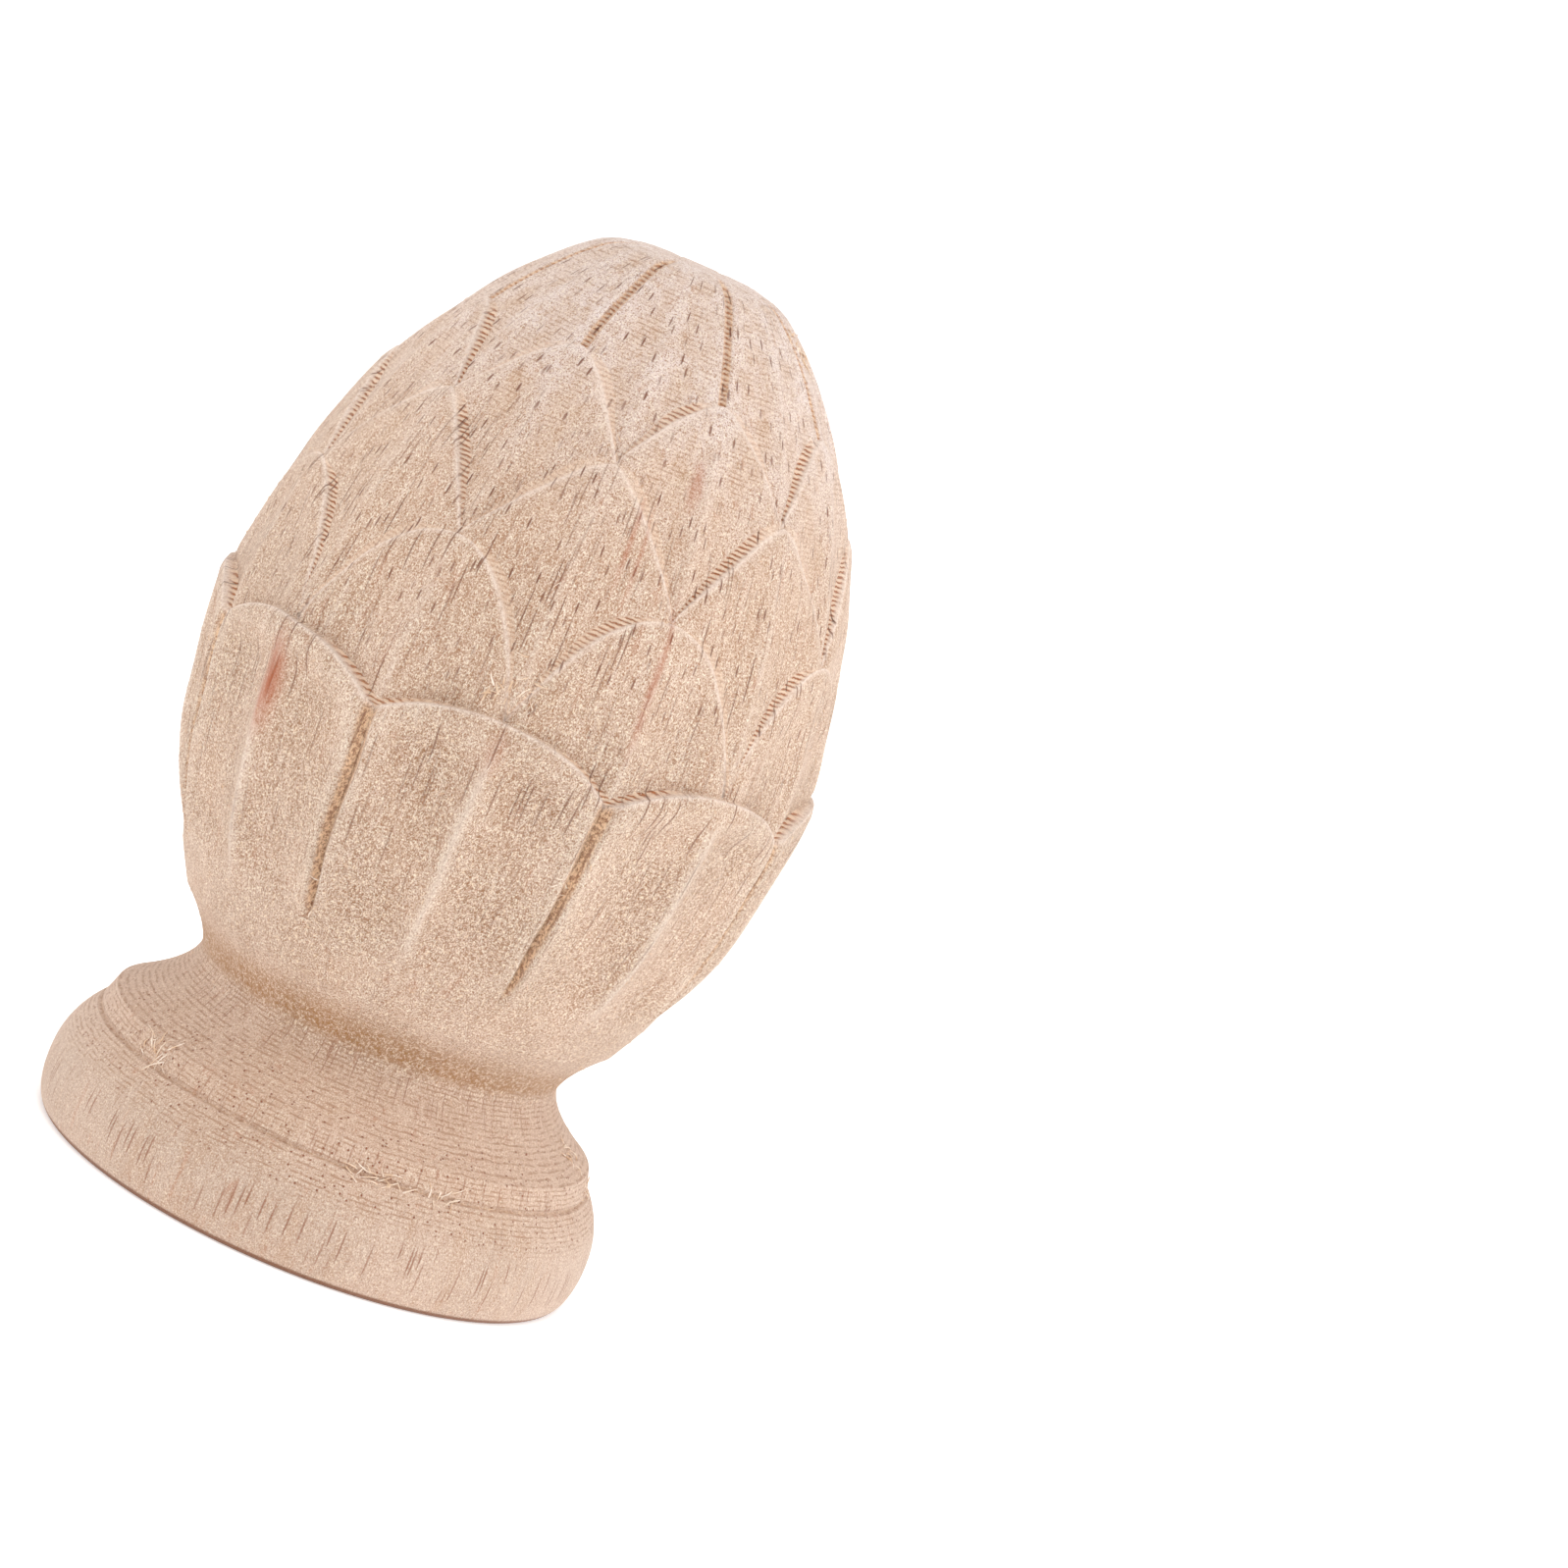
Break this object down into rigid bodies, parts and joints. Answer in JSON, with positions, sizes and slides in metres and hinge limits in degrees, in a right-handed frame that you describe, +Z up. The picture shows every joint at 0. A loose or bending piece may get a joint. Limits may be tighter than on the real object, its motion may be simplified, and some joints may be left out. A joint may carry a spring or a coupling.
{
  "type": "pineapple post finial",
  "caption": "Egg-shaped carved wooden finial with overlapping pointed scales, on a turned cove neck and a rounded foot with a flat underside; caps a post, newel or drapery rod.",
  "frame": {"origin": "centre of the flat underside", "axes": "+Z up along the turning axis, towards the cut-off tip; -Y looks at the middle of one scale of the lowest ring"},
  "size_m": [0.0658, 0.0658, 0.105],
  "materials": {
    "bare_wood": "unfinished pale hardwood, matt, with fine tool rings and short brown pores"
  },
  "bodies": {
    "root": {"carved_finial": "bare_wood"}
  },
  "joints": []
}
